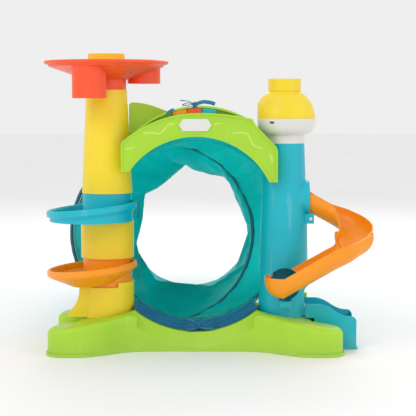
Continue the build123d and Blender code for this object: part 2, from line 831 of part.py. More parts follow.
# ---- Exit ramp and ball tray at the right --------------------------------
ramp_start_x = right + right_r0 + clearance
ramp_under = seat_z + clearance
with BuildPart() as exit_ramp:
    with BuildSketch(Plane.XZ.offset(-ramp_half)):
        with BuildLine():
            Polyline(
                (ramp_end_x, ramp_low - 12),
                (ramp_end_x, 0),
                (notch_x + 3, 0),
                (notch_x + 3, ramp_under),
                (ramp_start_x - 12, ramp_under),
                (ramp_start_x - 12, ramp_top),
            )
            shoulder = Line((ramp_start_x - 12, ramp_top), (ramp_start_x + 20, ramp_top))
            Spline(
                shoulder @ 1,
                (ramp_end_x - 40, ramp_low + 6),
                (ramp_end_x - 14, ramp_low),
                tangents=((1, -0.1), (1, 0)),
            )
            RadiusArc((ramp_end_x - 14, ramp_low), (ramp_end_x, ramp_low - 12), 13)
        make_face()
    extrude(amount=2 * ramp_half)
    with BuildPart(mode=Mode.PRIVATE) as ramp_room:
        side_profile(
            (
                (ramp_start_x - 20, seat_z + 5),
                (ramp_start_x + 30, seat_z - 2),
                (ramp_end_x - 45, 14),
                (ramp_end_x - ramp_wall, 8),
                (ramp_end_x - ramp_wall, 200),
                (ramp_start_x - 20, 200),
            ),
            ramp_wall - ramp_half,
            ramp_half - ramp_wall,
        )
    add(ramp_room.part, mode=Mode.SUBTRACT)
    # Low scoop in the end wall, for small hands.
    with BuildSketch(Plane.YZ.offset(ramp_end_x - 20)):
        with Locations((0, ramp_low)):
            SlotOverall(76, 74)
    extrude(amount=40, mode=Mode.SUBTRACT)
    tapered_plug(right, 0, right_r0 + clearance, right_seam, right_r0 + clearance, Mode.SUBTRACT)
    with BuildSketch(Plane.XY):
        with Locations((ramp_end_x - 4, 0)):
            Rectangle(14, 2 * ramp_half)
        with Locations((ramp_end_x - 8, 0)):
            Rectangle(14, 2 * ramp_half - 8, mode=Mode.SUBTRACT)
    extrude(amount=5)
exit_ramp.part.label = "exit_ramp"
export_step(exit_ramp.part, "parts/exit_ramp.step")


# ---- Arch ---------------------------------------------------------------
def front_outline():
    """The front arch's outline, upright in X and Z."""
    low_left = 443
    low_right = 418
    inner_left = arch_x - sqrt(arch_r**2 - (low_left - arch_z) ** 2)
    inner_right = arch_x + sqrt(arch_r**2 - (low_right - arch_z) ** 2)
    with BuildSketch() as outline:
        with BuildLine():
            Polyline((inner_left, low_left), (arch_left, low_left), (arch_left, 514))
            crown = ThreePointArc((arch_left, 514), (-84, 571), (-2, 586))
            TangentArc((-2, 586), (139, 572), tangent=crown % 1)
            Polyline((139, 572), (148, 556), (arch_right - 4, 505), (arch_right, 495))
            Polyline((arch_right, 495), (arch_right, low_right), (inner_right, low_right))
            ThreePointArc(
                (inner_right, low_right), (arch_x, arch_z + arch_r), (inner_left, low_left)
            )
        make_face()
    return outline.sketch


def back_outline():
    """The back arch's outline: a hill at the left, then a band that follows the rail."""
    inner = arch_r + 4
    low = 470
    reach = sqrt(inner**2 - (low - arch_z) ** 2)
    with BuildSketch() as outline:
        with BuildLine():
            Polyline((arch_x - reach, low), (-166, low), (-166, 606))
            Line((-166, 606), (-160, 612))
            hill = TangentArc((-160, 612), (-100, 601), tangent=(1, 0))
            Line((-100, 601), (-50, 582))
            ThreePointArc((-50, 582), (90, 572), (172, 505))
            Polyline((172, 505), (172, low), (arch_x + reach, low))
            ThreePointArc((arch_x + reach, low), (arch_x, arch_z + inner), (arch_x - reach, low))
        make_face()
    return outline.sketch


def at_depth(y):
    """An upright plane that faces the front, y behind the tower axes."""
    return Plane.XZ.offset(-y)


front_back_y = arch_front_y + arch_depth
with BuildPart() as arch_front:
    with BuildSketch(at_depth(front_back_y)):
        add(front_outline())
    extrude(amount=arch_depth)
    # Hollow behind, and a face sunk inside a raised rim.
    with BuildSketch(at_depth(front_back_y)):
        offset(front_outline(), amount=-arch_wall, kind=Kind.INTERSECTION)
    extrude(amount=arch_depth - arch_wall - 2, mode=Mode.SUBTRACT)
    with BuildSketch(at_depth(arch_front_y + 2)):
        offset(front_outline(), amount=-arch_rim, kind=Kind.INTERSECTION)
    extrude(amount=2, mode=Mode.SUBTRACT)
    # Blocks at both ends that hug the towers.
    side_profile(((168, 418), (arch_right, 418), (arch_right, 490), (168, 490)), front_back_y - 14, 0)
    side_profile(
        ((arch_left, 443), (-160, 443), (-160, 505), (arch_left, 505)), front_back_y - 14, 0
    )
    barrel(arch_x, arch_z, -90, 10, arch_r, Mode.SUBTRACT)
    tapered_plug(
        right, right_seam, right_r1 + clearance, right_top, right_r2 + clearance, Mode.SUBTRACT
    )
    tapered_plug(
        left,
        left_column_bottom,
        left_column_r0 + clearance,
        left_column_top,
        left_column_r1 + clearance,
        Mode.SUBTRACT,
    )
    for x, z in post_places:
        barrel(x, z, arch_front_y + arch_wall + 2, front_back_y, post_r)
        barrel(x, z, arch_front_y + arch_wall + 2, front_back_y, screw_r + 0.1, Mode.SUBTRACT)
arch_front.part.label = "arch_front"
export_step(arch_front.part, "parts/arch_front.step")

with BuildPart() as arch_back:
    with BuildSketch(at_depth(back_y + back_thick)):
        add(back_outline())
    extrude(amount=back_thick)
    for x, z in post_places:
        barrel(x, z, front_back_y, back_y, post_r)
        barrel(x, z, front_back_y, back_y + back_thick, screw_hole_r, Mode.SUBTRACT)
    tapered_plug(
        right, right_seam, right_r1 + clearance, right_top, right_r2 + clearance, Mode.SUBTRACT
    )
    tapered_plug(
        left,
        left_column_bottom,
        left_column_r0 + clearance,
        left_column_top,
        left_column_r1 + clearance,
        Mode.SUBTRACT,
    )
arch_back.part.label = "arch_back"
export_step(arch_back.part, "parts/arch_back.step")

with BuildPart() as arch_screws:
    for x, z in post_places:
        barrel(x, z, front_back_y - 10, back_y + back_thick, screw_r)
        barrel(x, z, back_y + back_thick, back_y + back_thick + 2.6, 4.2)
arch_screws.part.label = "arch_screws"
export_step(arch_screws.part, "parts/arch_screws.step")


# ---- Arc rail and sliders ------------------------------------------------
def sector(y0, y1, r0, r1, a0, a1, mode=Mode.ADD):
    """A curved bar about the rail's centre; angles run from the top to the right."""
    with BuildSketch(at_depth(y1)) as face:
        with BuildLine():
            outer = CenterArc((rail_x, rail_z), r1, 90 - a1, a1 - a0)
            inner = CenterArc((rail_x, rail_z), r0, 90 - a1, a1 - a0)
            Line(outer @ 0, inner @ 0)
            Line(outer @ 1, inner @ 1)
        make_face()
    extrude(face.sketch, amount=y1 - y0, mode=mode)


with BuildPart() as arc_rail:
    sector(flange_y - 11, back_y, rail_r - rail_thick, rail_r, rail_left, rail_right)
    sector(flange_y, flange_y + flange_thick, slot_r - 10, rail_r - 1, rail_left, rail_right)
    sector(
        flange_y - 1,
        flange_y + flange_thick + 1,
        slot_r - slot_half,
        slot_r + slot_half,
        rail_left + 3,
        rail_right - 3,
        Mode.SUBTRACT,
    )
arc_rail.part.label = "arc_rail"
export_step(arc_rail.part, "parts/arc_rail.step")

for slider_name, middle in zip(slider_names, slider_places):
    with BuildPart() as slider:
        low = middle - slider_span / 2
        high = middle + slider_span / 2
        neck_low = middle - 1.6
        neck_high = middle + 1.6
        face_y = flange_y - clearance
        rear_y = flange_y + flange_thick + clearance
        sector(face_y - 10, face_y, 204, rail_r - rail_thick - 1, low, high)
        slider_edges = slider.edges().filter_by(Axis.Y)
        fillet(slider_edges, 3)
        neck_r0 = slot_r - slot_half + clearance
        neck_r1 = slot_r + slot_half - clearance
        sector(face_y, rear_y, neck_r0, neck_r1, neck_low, neck_high)
        sector(rear_y, rear_y + 4, slot_r - 7, slot_r + 7, middle - 2.4, middle + 2.4)
    slider.part.label = slider_name
    export_step(slider.part, f"parts/{slider_name}.step")

# ---- Plain plaque --------------------------------------------------------
with BuildPart() as plaque:
    with BuildSketch(at_depth(arch_front_y + 2)):
        with Locations((0, 557)):
            Polygon((-40, 0), (-30, 15), (30, 15), (40, 0), (30, -15), (-30, -15))
    extrude(amount=4)
    chamfer(plaque.faces().sort_by(Axis.Y)[0].edges(), 1)
plaque.part.label = "plaque"
export_step(plaque.part, "parts/plaque.step")


# ---- Crawl tunnel --------------------------------------------------------
for hoop_name, (hx, hy, hz, hr) in hoops.items():
    with BuildPart() as hoop:
        with BuildSketch(Plane((hx, hy, hz), x_dir=(1, 0, 0), z_dir=(0, 0, 1))):
            with Locations((hr, 0)):
                Circle(wire_r)
        revolve(axis=Axis((hx, hy, hz), (0, 1, 0)))
    hoop.part.label = hoop_name
    export_step(hoop.part, f"parts/{hoop_name}.step")


def tunnel_form(inset):
    """The tunnel's outer form, or with an inset the room inside it."""
    gap = wire_r + clearance + inset
    front, second, third, fourth, rear = hoops.values()
    stations = (
        (front[0], front[1] - 6, front[2], front[3]),
        (front[0], front[1] + 6, front[2], front[3]),
        (second[0], second[1] - 5, second[2], second[3]),
        second,
        waist,
        third,
        fourth,
        rear,
    )
    rings = []
    for x, y, z, r in stations:
        with BuildSketch(at_depth(y)) as circle:
            with Locations((x, z)):
                Circle(r - gap)
        rings += circle.sketch.faces()
    for near, far in zip(rings, rings[1:]):
        loft([near, far], ruled=True)


with BuildPart() as tunnel_fabric:
    tunnel_form(0)
    with BuildPart(mode=Mode.PRIVATE) as crawl_room:
        tunnel_form(fabric_thick)
    add(crawl_room.part, mode=Mode.SUBTRACT)
tunnel_fabric.part.label = "tunnel_fabric"
export_step(tunnel_fabric.part, "parts/tunnel_fabric.step")

with BuildPart() as mouth_apron:
    apron_r = saddle_r - 0.5
    barrel(0, saddle_z, apron_front, apron_back, apron_r)
    barrel(0, saddle_z, apron_front, apron_back, apron_r - fabric_thick, Mode.SUBTRACT)
    with BuildSketch(at_depth(apron_back)) as kept:
        with Locations((0, apron_top / 2)):
            Rectangle(2 * apron_half, apron_top)
    extrude(kept.sketch, amount=apron_back - apron_front, mode=Mode.INTERSECT)
mouth_apron.part.label = "mouth_apron"
export_step(mouth_apron.part, "parts/mouth_apron.step")

# ---- Ribbon ties ---------------------------------------------------------
with BuildPart() as tie_top:
    deck_top = rail_z + rail_r
    with BuildSketch(Plane.XY.offset(deck_top)):
        with Locations((-2, (flange_y - 11 + back_y) / 2)):
            Rectangle(ribbon, back_y - flange_y + 11)
        with Locations((-2, flange_y - 4)):
            Rectangle(14, 12)
    extrude(amount=1.4)
    with BuildSketch(Plane.XY.offset(deck_top)):
        with Locations((-2, flange_y - 4)):
            RectangleRounded(14, 12, 4)
    extrude(amount=8)
    side_profile(((0, 608), (46, 612), (46, 610.5), (0, 606.5)), flange_y - 8, flange_y + 1)
    side_profile(((0, 608), (-36, 616), (-36, 614.8), (0, 606.5)), flange_y - 8, flange_y + 1)
tie_top.part.label = "tie_top"
export_step(tie_top.part, "parts/tie_top.step")

with BuildPart() as tie_bottom:
    with BuildSketch(Plane.XY.offset(saddle_z - saddle_r + 5)):
        with Locations((8, tie_knot_y)):
            RectangleRounded(46, 12, 4)
    extrude(amount=12)
tie_bottom.part.label = "tie_bottom"
export_step(tie_bottom.part, "parts/tie_bottom.step")

with BuildPart() as tie_left:
    with BuildSketch(Plane.XZ.offset(17)):
        with BuildLine():
            strap_outer = ThreePointArc((-146, 374), (-139, 345), (-153, 306))
            strap_inner = ThreePointArc((-147.2, 374), (-140.2, 345), (-154.2, 306))
            Line(strap_outer @ 0, strap_inner @ 0)
            Line(strap_outer @ 1, strap_inner @ 1)
        make_face()
    extrude(amount=ribbon)
tie_left.part.label = "tie_left"
export_step(tie_left.part, "parts/tie_left.step")
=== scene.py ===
import math
import random

import bmesh
import bpy
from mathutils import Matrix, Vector, noise


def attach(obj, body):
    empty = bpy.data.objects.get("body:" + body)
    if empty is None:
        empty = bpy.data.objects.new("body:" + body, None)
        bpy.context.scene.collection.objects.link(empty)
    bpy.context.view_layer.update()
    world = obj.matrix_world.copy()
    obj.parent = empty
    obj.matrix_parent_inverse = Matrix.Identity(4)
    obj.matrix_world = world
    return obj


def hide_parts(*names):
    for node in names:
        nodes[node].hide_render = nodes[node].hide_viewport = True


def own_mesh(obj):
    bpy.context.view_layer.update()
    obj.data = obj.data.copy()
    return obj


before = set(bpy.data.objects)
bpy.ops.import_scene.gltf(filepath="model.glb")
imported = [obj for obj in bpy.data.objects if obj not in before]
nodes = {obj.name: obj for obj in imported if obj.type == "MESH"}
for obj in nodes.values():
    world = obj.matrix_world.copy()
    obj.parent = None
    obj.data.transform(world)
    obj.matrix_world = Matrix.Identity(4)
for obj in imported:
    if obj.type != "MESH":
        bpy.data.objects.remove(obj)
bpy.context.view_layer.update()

# Toddler activity set: moulded towers and arch on a base, with a fabric crawl tunnel.
# Metres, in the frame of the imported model.
scene = bpy.context.scene
ROOT = "stand"

# ---- Colours (linear) ------------------------------------------------------
LIME = (0.400, 0.690, 0.030)
# Lighter lime for the arch's raised lines: a painted highlight, not the plastic's own colour.
HIGHLIGHT_LIME = (0.600, 0.800, 0.150)
YELLOW = (0.930, 0.690, 0.022)
ORANGE = (1.000, 0.330, 0.006)
CORAL = (1.000, 0.095, 0.018)
CYAN = (0.000, 0.470, 0.590)
WHITE = (0.760, 0.760, 0.730)
TEAL = (0.000, 0.590, 0.580)
DEEP_TEAL = (0.000, 0.150, 0.230)
BLUE = (0.004, 0.190, 0.400)


# ---- Materials -------------------------------------------------------------
def shade(colour, factor):
    """The colour made darker or lighter, with an alpha of 1."""
    return tuple(min(1.0, c * factor) for c in colour) + (1.0,)


def new_material(name):
    """An empty node material with a Principled shader joined to its output."""
    mat = bpy.data.materials.new(name)
    mat.use_nodes = True
    tree = mat.node_tree
    tree.nodes.clear()
    out = tree.nodes.new("ShaderNodeOutputMaterial")
    shader = tree.nodes.new("ShaderNodeBsdfPrincipled")
    tree.links.new(shader.outputs["BSDF"], out.inputs["Surface"])
    return mat, tree, shader, out


def add_noise(tree, coords, scale, detail=3.0, stretch=None):
    """A noise texture, stretched along an axis if asked."""
    tex = tree.nodes.new("ShaderNodeTexNoise")
    tex.inputs["Scale"].default_value = scale
    tex.inputs["Detail"].default_value = detail
    if stretch:
        mapping = tree.nodes.new("ShaderNodeMapping")
        mapping.inputs["Scale"].default_value = stretch
        tree.links.new(coords, mapping.inputs["Vector"])
        coords = mapping.outputs["Vector"]
    tree.links.new(coords, tex.inputs["Vector"])
    return tex.outputs["Fac"]


def ramp(tree, value, stops):
    """A colour ramp over the value."""
    node = tree.nodes.new("ShaderNodeValToRGB")
    elements = node.color_ramp.elements
    while len(elements) < len(stops):
        elements.new(0.5)
    for element, (place, colour) in zip(elements, stops):
        element.position = place
        element.color = colour
    tree.links.new(value, node.inputs["Fac"])
    return node.outputs["Color"]


def span(tree, value, low, high, to_low, to_high):
    """The value moved from one range to another."""
    node = tree.nodes.new("ShaderNodeMapRange")
    node.inputs["From Min"].default_value = low
    node.inputs["From Max"].default_value = high
    node.inputs["To Min"].default_value = to_low
    node.inputs["To Max"].default_value = to_high
    tree.links.new(value, node.inputs["Value"])
    return node.outputs["Result"]


def mix(tree, factor, first, second, kind="MIX"):
    """Two colours mixed by a factor that is a number or a socket."""
    node = tree.nodes.new("ShaderNodeMix")
    node.data_type = "RGBA"
    node.blend_type = kind
    if isinstance(factor, float):
        node.inputs[0].default_value = factor
    else:
        tree.links.new(factor, node.inputs[0])
    for socket, side in ((node.inputs[6], first), (node.inputs[7], second)):
        if isinstance(side, tuple):
            socket.default_value = side
        else:
            tree.links.new(side, socket)
    return node.outputs[2]


def add_bump(tree, shader, height, strength, distance, after=None):
    """A bump from the height, on top of another one if given."""
    node = tree.nodes.new("ShaderNodeBump")
    node.inputs["Strength"].default_value = strength
    node.inputs["Distance"].default_value = distance
    tree.links.new(height, node.inputs["Height"])
    if after is not None:
        tree.links.new(after, node.inputs["Normal"])
    tree.links.new(node.outputs["Normal"], shader.inputs["Normal"])
    return node.outputs["Normal"]


def plastic(name, colour, rough=0.34, soft=0.08, peel=0.30, mottle=0.07):
    """Moulded plastic: faint colour drift, orange peel, fine scuffs and floor dust."""
    mat, tree, shader, _ = new_material(name)
    coords = tree.nodes.new("ShaderNodeTexCoord").outputs["Object"]
    drift = add_noise(tree, coords, 7.0, 4.0)
    low, high = shade(colour, 1 - mottle), shade(colour, 1 + 0.6 * mottle)
    tint = ramp(tree, drift, ((0.32, low), (0.68, high)))
    scuff = add_noise(tree, coords, 60.0, 6.0, (1.0, 1.0, 0.12))
    worn = span(tree, scuff, 0.62, 0.72, 0.0, 0.16)
    pale = shade(tuple(0.5 * c + 0.45 for c in colour), 1.0)
    tint = mix(tree, worn, tint, pale)
    place = tree.nodes.new("ShaderNodeSeparateXYZ")
    tree.links.new(coords, place.inputs["Vector"])
    dust = span(tree, place.outputs["Z"], 0.0, 0.05, 0.14, 0.0)
    tint = mix(tree, dust, tint, (0.30, 0.28, 0.22, 1.0))
    tree.links.new(tint, shader.inputs["Base Color"])
    grain = add_noise(tree, coords, 420.0, 2.0)
    sheen = span(tree, scuff, 0.3, 0.75, rough - 0.06, rough + 0.16)
    tree.links.new(sheen, shader.inputs["Roughness"])
    first = add_bump(tree, shader, drift, 0.12, 0.004)
    add_bump(tree, shader, grain, peel, 0.0004, first)
    shader.inputs["Subsurface Weight"].default_value = soft
    shader.inputs["Subsurface Radius"].default_value = (0.010, 0.008, 0.005)
    shader.inputs["Subsurface Scale"].default_value = 0.4
    shader.inputs["IOR"].default_value = 1.49
    return mat


def steel(name):
    """Zinc-plated screw steel with turning marks."""
    mat, tree, shader, _ = new_material(name)
    coords = tree.nodes.new("ShaderNodeTexCoord").outputs["Object"]
    marks = add_noise(tree, coords, 900.0, 4.0, (1.0, 0.1, 1.0))
    tree.links.new(
        ramp(tree, marks, ((0.3, (0.42, 0.42, 0.44, 1)), (0.7, (0.62, 0.62, 0.64, 1)))),
        shader.inputs["Base Color"],
    )
    tree.links.new(span(tree, marks, 0.2, 0.8, 0.22, 0.45), shader.inputs["Roughness"])
    shader.inputs["Metallic"].default_value = 1.0
    add_bump(tree, shader, marks, 0.25, 0.0002)
    return mat


def cloth(name, colour, through, weave=0.0012, grid=0.0, rough=0.55, drift_scale=9.0):
    """Woven cloth: fine weave, a ripstop grid if asked, creases, and light from behind."""
    mat, tree, shader, out = new_material(name)
    coords = tree.nodes.new("ShaderNodeTexCoord")
    uv = coords.outputs["UV"]
    drift = add_noise(tree, uv, drift_scale, 5.0)
    tint = ramp(tree, drift, ((0.30, shade(colour, 0.80)), (0.70, shade(colour, 1.12))))
    threads = []
    for direction in ("X", "Y"):
        wave = tree.nodes.new("ShaderNodeTexWave")
        wave.bands_direction = direction
        wave.inputs["Scale"].default_value = 2 * math.pi / (20 * weave)
        wave.inputs["Distortion"].default_value = 0.4
        tree.links.new(uv, wave.inputs["Vector"])
        threads.append(wave.outputs["Fac"])
    woven = mix(tree, 0.5, threads[0], threads[1])
    tint = mix(tree, 0.12, tint, woven, "OVERLAY")
    if grid:
        for direction in ("X", "Y"):
            wave = tree.nodes.new("ShaderNodeTexWave")
            wave.bands_direction = direction
            wave.inputs["Scale"].default_value = 2 * math.pi / (20 * grid)
            tree.links.new(uv, wave.inputs["Vector"])
            line = span(tree, wave.outputs["Fac"], 0.965, 0.995, 0.0, 0.20)
            tint = mix(tree, line, tint, shade(colour, 0.62))
    tree.links.new(tint, shader.inputs["Base Color"])
    crease = add_noise(tree, uv, 38.0, 8.0)
    dull = span(tree, crease, 0.3, 0.7, rough - 0.10, rough + 0.12)
    tree.links.new(dull, shader.inputs["Roughness"])
    first = add_bump(tree, shader, crease, 0.35, 0.004)
    add_bump(tree, shader, woven, 0.30, 0.0003, first)
    shader.inputs["Sheen Weight"].default_value = 0.25
    shader.inputs["Sheen Roughness"].default_value = 0.4
    if through:
        glow = tree.nodes.new("ShaderNodeBsdfTranslucent")
        tree.links.new(tint, glow.inputs["Color"])
        both = tree.nodes.new("ShaderNodeMixShader")
        both.inputs["Fac"].default_value = through
        tree.links.new(shader.outputs["BSDF"], both.inputs[1])
        tree.links.new(glow.outputs["BSDF"], both.inputs[2])
        tree.links.new(both.outputs["Shader"], out.inputs["Surface"])
    return mat


lime = plastic("lime_moulded", LIME, rough=0.38)
# Painted highlight: this lighter lime stands in for the light caught by the arch's raised ridges.
painted_highlight_lime = plastic("lime_painted_highlight", HIGHLIGHT_LIME, rough=0.40)
yellow = plastic("yellow_moulded", YELLOW, rough=0.33)
orange = plastic("orange_moulded", ORANGE, rough=0.30)
coral = plastic("coral_moulded", CORAL, rough=0.32)
cyan = plastic("cyan_moulded", CYAN, rough=0.33)
white = plastic("white_moulded", WHITE, rough=0.30, mottle=0.03)
screw_steel = steel("screw_steel")
nylon = cloth("teal_nylon", TEAL, 0.42, grid=0.008, rough=0.42)
binding = cloth("blue_binding", DEEP_TEAL, 0.0, weave=0.0018, rough=0.6, drift_scale=30.0)
hem_cloth = cloth("blue_hem", BLUE, 0.12, weave=0.0015, rough=0.5, drift_scale=24.0)
ribbon_cloth = cloth("blue_ribbon", BLUE, 0.10, weave=0.0010, rough=0.45, drift_scale=40.0)

NODE_MATERIALS = {
    "base_frame": lime,
    "arch_front": lime,
    "arch_back": lime,
    "arc_rail": lime,
    "chute_base": yellow,
    "tower_collar": yellow,
    "left_column": yellow,
    "funnel_tube": yellow,
    "dome_cap": yellow,
    "lower_tray": orange,
    "spiral_upper": orange,
    "spiral_lower": orange,
    "slider_orange": orange,
    "funnel_dish": coral,
    "slider_coral": coral,
    "upper_tray": cyan,
    "upper_hub_ramp": cyan,
    "right_column_lower": cyan,
    "right_column_upper": cyan,
    "lower_ball_ramp": cyan,
    "upper_ball_ramp": cyan,
    "exit_ramp": cyan,
    "slider_cyan": cyan,
    "bowl": white,
    "plaque": white,
    "trough_screws": white,
    "base_screws": screw_steel,
    "arch_screws": screw_steel,
}
for node_name, material in NODE_MATERIALS.items():
    node = nodes[node_name]
    if not node.material_slots:
        node.data.materials.append(material)
    for place in node.material_slots:
        place.material = material


# ---- Mesh helpers ------------------------------------------------------------
def grid_mesh(name, rows, closed, uvs=None):
    """A smooth grid mesh through rows of points; the rows close on themselves if asked."""
    count = len(rows[0])
    points = [tuple(p) for row in rows for p in row]
    steps = count if closed else count - 1
    faces = []
    for j in range(len(rows) - 1):
        for i in range(steps):
            k = (i + 1) % count
            near, far = j * count, (j + 1) * count
            faces.append((near + i, near + k, far + k, far + i))
    mesh = bpy.data.meshes.new(name)
    mesh.from_pydata(points, [], faces)
    layer = mesh.uv_layers.new(name="UVMap")
    for polygon in mesh.polygons:
        for loop in polygon.loop_indices:
            index = mesh.loops[loop].vertex_index
            j, i = divmod(index, count)
            if uvs is None:
                layer.data[loop].uv = (0.01 * i, 0.01 * j)
                continue
            u, v = uvs[j][i]
            if closed and i == 0 and any(
                mesh.loops[m].vertex_index % count == count - 1 for m in polygon.loop_indices
            ):
                u += uvs[j][count - 1][0] + (uvs[j][1][0] - uvs[j][0][0])
            layer.data[loop].uv = (u, v)
    for polygon in mesh.polygons:
        polygon.use_smooth = True
    obj = bpy.data.objects.new(name, mesh)
    scene.collection.objects.link(obj)
    return obj


def settle(obj, subdivide=0, thick=0.0):
    """Bakes a subdivision and a thickness into the object's own mesh."""
    if thick:
        solid = obj.modifiers.new("thick", "SOLIDIFY")
        solid.thickness = thick
        solid.offset = 0.0
    if subdivide:
        smooth = obj.modifiers.new("smooth", "SUBSURF")
        smooth.levels = subdivide
        smooth.render_levels = subdivide
    graph = bpy.context.evaluated_depsgraph_get()
    final = bpy.data.meshes.new_from_object(obj.evaluated_get(graph))
    obj.modifiers.clear()
    obj.data = final
    return obj


def dress(obj, material, body):
    """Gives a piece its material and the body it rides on."""
    obj.data.materials.clear()
    obj.data.materials.append(material)
    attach(obj, body)
    return obj


def curve_points(points, steps=8):
    """A smooth line through the points (Catmull-Rom)."""
    pts = [Vector(p) for p in points]
    pts = [2 * pts[0] - pts[1]] + pts + [2 * pts[-1] - pts[-2]]
    line = []
    for a, b, c, d in zip(pts, pts[1:], pts[2:], pts[3:]):
        for k in range(steps):
            t = k / steps
            line.append(
                0.5
                * (
                    2 * b
                    + (c - a) * t
                    + (2 * a - 5 * b + 4 * c - d) * t * t
                    + (3 * b - a - 3 * c + d) * t**3
                )
            )
    line.append(pts[-2])
    return line


# ---- Tunnel fabric -------------------------------------------------------------
MOUTH = (0.0, 0.092, 0.284)
HOOPS = (
    (-0.090, 0.170, 0.266),
    (-0.072, 0.430, 0.248),
    (-0.046, 0.690, 0.244),
    (-0.022, 0.950, 0.244),
)
HOOP_BODIES = (ROOT, "hoop_third_body", "hoop_fourth_body", "hoop_rear_body")
HOOP_NODES = ("hoop_second", "hoop_third", "hoop_fourth", "hoop_rear")
HOOP_R = 0.240
MOUTH_HOOP_R = 0.2356
RING_R = HOOP_R - 0.0049
MOUTH_R = MOUTH_HOOP_R - 0.0043
FLARE_R = 0.2445
SKIRT_R = 0.2385
SKIRT_HALF = 0.135
SKIRT_Y = -0.012
FLARE_Y = 0.068
AROUND = 156

# The slack cloth folds into a crumpled opening between the second and third hoops.
WAIST_Y = 0.300
WAIST_CENTRE = (-0.010, 0.270)
WAIST = (
    (0.149, 0.277),
    (0.133, 0.309),
    (0.111, 0.355),
    (0.094, 0.407),
    (0.042, 0.416),
    (-0.007, 0.429),
    (-0.027, 0.442),
    (-0.099, 0.381),
    (-0.139, 0.360),
    (-0.147, 0.291),
    (-0.162, 0.226),
    (-0.157, 0.202),
    (-0.113, 0.123),
    (0.041, 0.107),
    (0.151, 0.182),
    (0.148, 0.226),
    (0.149, 0.277),
)


def smooth_step(t):
    t = min(1.0, max(0.0, t))
    return t * t * (3 - 2 * t)


def ring_point(place, angle, radius=RING_R):
    """A point on a round hoop's inside."""
    x, y, z = place
    return Vector((x + radius * math.cos(angle), y, z + radius * math.sin(angle)))


def waist_point(angle):
    """A point on the crumpled opening, in a direction from its centre."""
    ahead = Vector((math.cos(angle), math.sin(angle)))
    centre = Vector(WAIST_CENTRE)
    for first, last in zip(WAIST, WAIST[1:]):
        a, b = Vector(first) - centre, Vector(last) - centre
        edge = b - a
        cross = ahead.x * edge.y - ahead.y * edge.x
        if abs(cross) < 1e-9:
            continue
        reach = (a.x * edge.y - a.y * edge.x) / cross
        along = (a.x * ahead.y - a.y * ahead.x) / cross
        if reach > 0 and -1e-6 <= along <= 1 + 1e-6:
            here = centre + ahead * reach
            return Vector((here.x, WAIST_Y, here.y))
    return Vector((centre.x, WAIST_Y, centre.y))


def front_edge(angle):
    """Where the cloth starts in y: far forward over the base, behind the columns elsewhere."""
    across = abs(SKIRT_R * math.cos(angle))
    if math.sin(angle) > 0:
        return FLARE_Y - 0.018 * smooth_step(math.sin(angle) * 1.6 - 0.5)
    return SKIRT_Y + (FLARE_Y - SKIRT_Y) * smooth_step((across - SKIRT_HALF) / 0.027)


def front_point(angle, t):
    """The cloth from its front edge to the mouth hoop, for t from 0 to 1."""
    low = 1 - smooth_step((math.sin(angle) + 0.72) / 0.2)
    start = front_edge(angle)
    y = start + (MOUTH[1] - 0.006 - start) * t
    edge = SKIRT_R * low + FLARE_R * (1 - low)
    closing = smooth_step((y - 0.062) / 0.024) if low < 1 else 0.0
    closing = max(closing, smooth_step((t - 0.85) / 0.15))
    radius = edge + (MOUTH_R - edge) * closing
    here = ring_point(MOUTH, angle, radius)
    here.y = y
    return here


front_t = [i / 14 for i in range(15)]
hold_y = [MOUTH[1] + 0.006]
hold_y += [MOUTH[1] + 0.006 + (HOOPS[0][1] - MOUTH[1] - 0.006) * i / 10 for i in range(1, 11)]
waist_rows = [HOOPS[0][1] + (WAIST_Y - HOOPS[0][1]) * i / 14 for i in range(1, 15)]
after_waist = [WAIST_Y + (HOOPS[1][1] - WAIST_Y) * i / 14 for i in range(1, 15)]


def tunnel_shape():
    """Rows of the cloth before it is draped, with how far each row may move."""
    angles = [2 * math.pi * i / AROUND for i in range(AROUND)]
    rows = []
    for t in front_t:
        rows.append(([front_point(a, t) for a in angles], 0.003, 0.004, t < 0.05 or t > 0.95))
    for y in hold_y:
        t = (y - hold_y[0]) / (HOOPS[0][1] - hold_y[0])
        line = []
        for a in angles:
            here = ring_point(MOUTH, a, MOUTH_R).lerp(ring_point(HOOPS[0], a), t)
            here.y = y
            line.append(here)
        rows.append((line, 0.003, 0.012, t < 0.05 or t > 0.95))
    waist = [waist_point(a) for a in angles]
    for y in waist_rows:
        t = (y - HOOPS[0][1]) / (WAIST_Y - HOOPS[0][1])
        line = [ring_point(HOOPS[0], a).lerp(w, t) for a, w in zip(angles, waist)]
        rows.append((line, 0.006, 0.010, t > 0.95))
    for y in after_waist:
        t = (y - WAIST_Y) / (HOOPS[1][1] - WAIST_Y)
        line = [w.lerp(ring_point(HOOPS[1], a), t) for a, w in zip(angles, waist)]
        rows.append((line, 0.006, 0.012, t > 0.95))
    for near, far in zip(HOOPS[1:], HOOPS[2:]):
        for i in range(1, 19):
            t = i / 18
            line = []
            for a in angles:
                here = ring_point(near, a).lerp(ring_point(far, a), t)
                inward = 0.020 * (1 + 0.5 * math.sin(3 * a + 5 * near[1])) * math.sin(math.pi * t) ** 0.8
                here -= Vector((math.cos(a), 0, math.sin(a))) * inward
                line.append(here)
            rows.append((line, 0.008, 0.020, t > 0.95))
    return rows


shape = tunnel_shape()
seed_offset = Vector((3.1, 1.7, 5.2))


def wrinkle(p):
    """Small uneven moves that start the folds."""
    rough = noise.noise(p * 14 + seed_offset) + 0.5 * noise.noise(p * 37 + seed_offset)
    return 0.0035 * rough


start_rows = []
for line, _, _, held in shape:
    if held:
        start_rows.append(line)
        continue
    start_rows.append([p + Vector((wrinkle(p), 0, wrinkle(p.zxy))) for p in line])
tunnel_uv = []
for line, _, _, _ in shape:
    tunnel_uv.append([(RING_R * 2 * math.pi * i / AROUND, p.y) for i, p in enumerate(line)])
drape = grid_mesh("drape", start_rows, True, tunnel_uv)

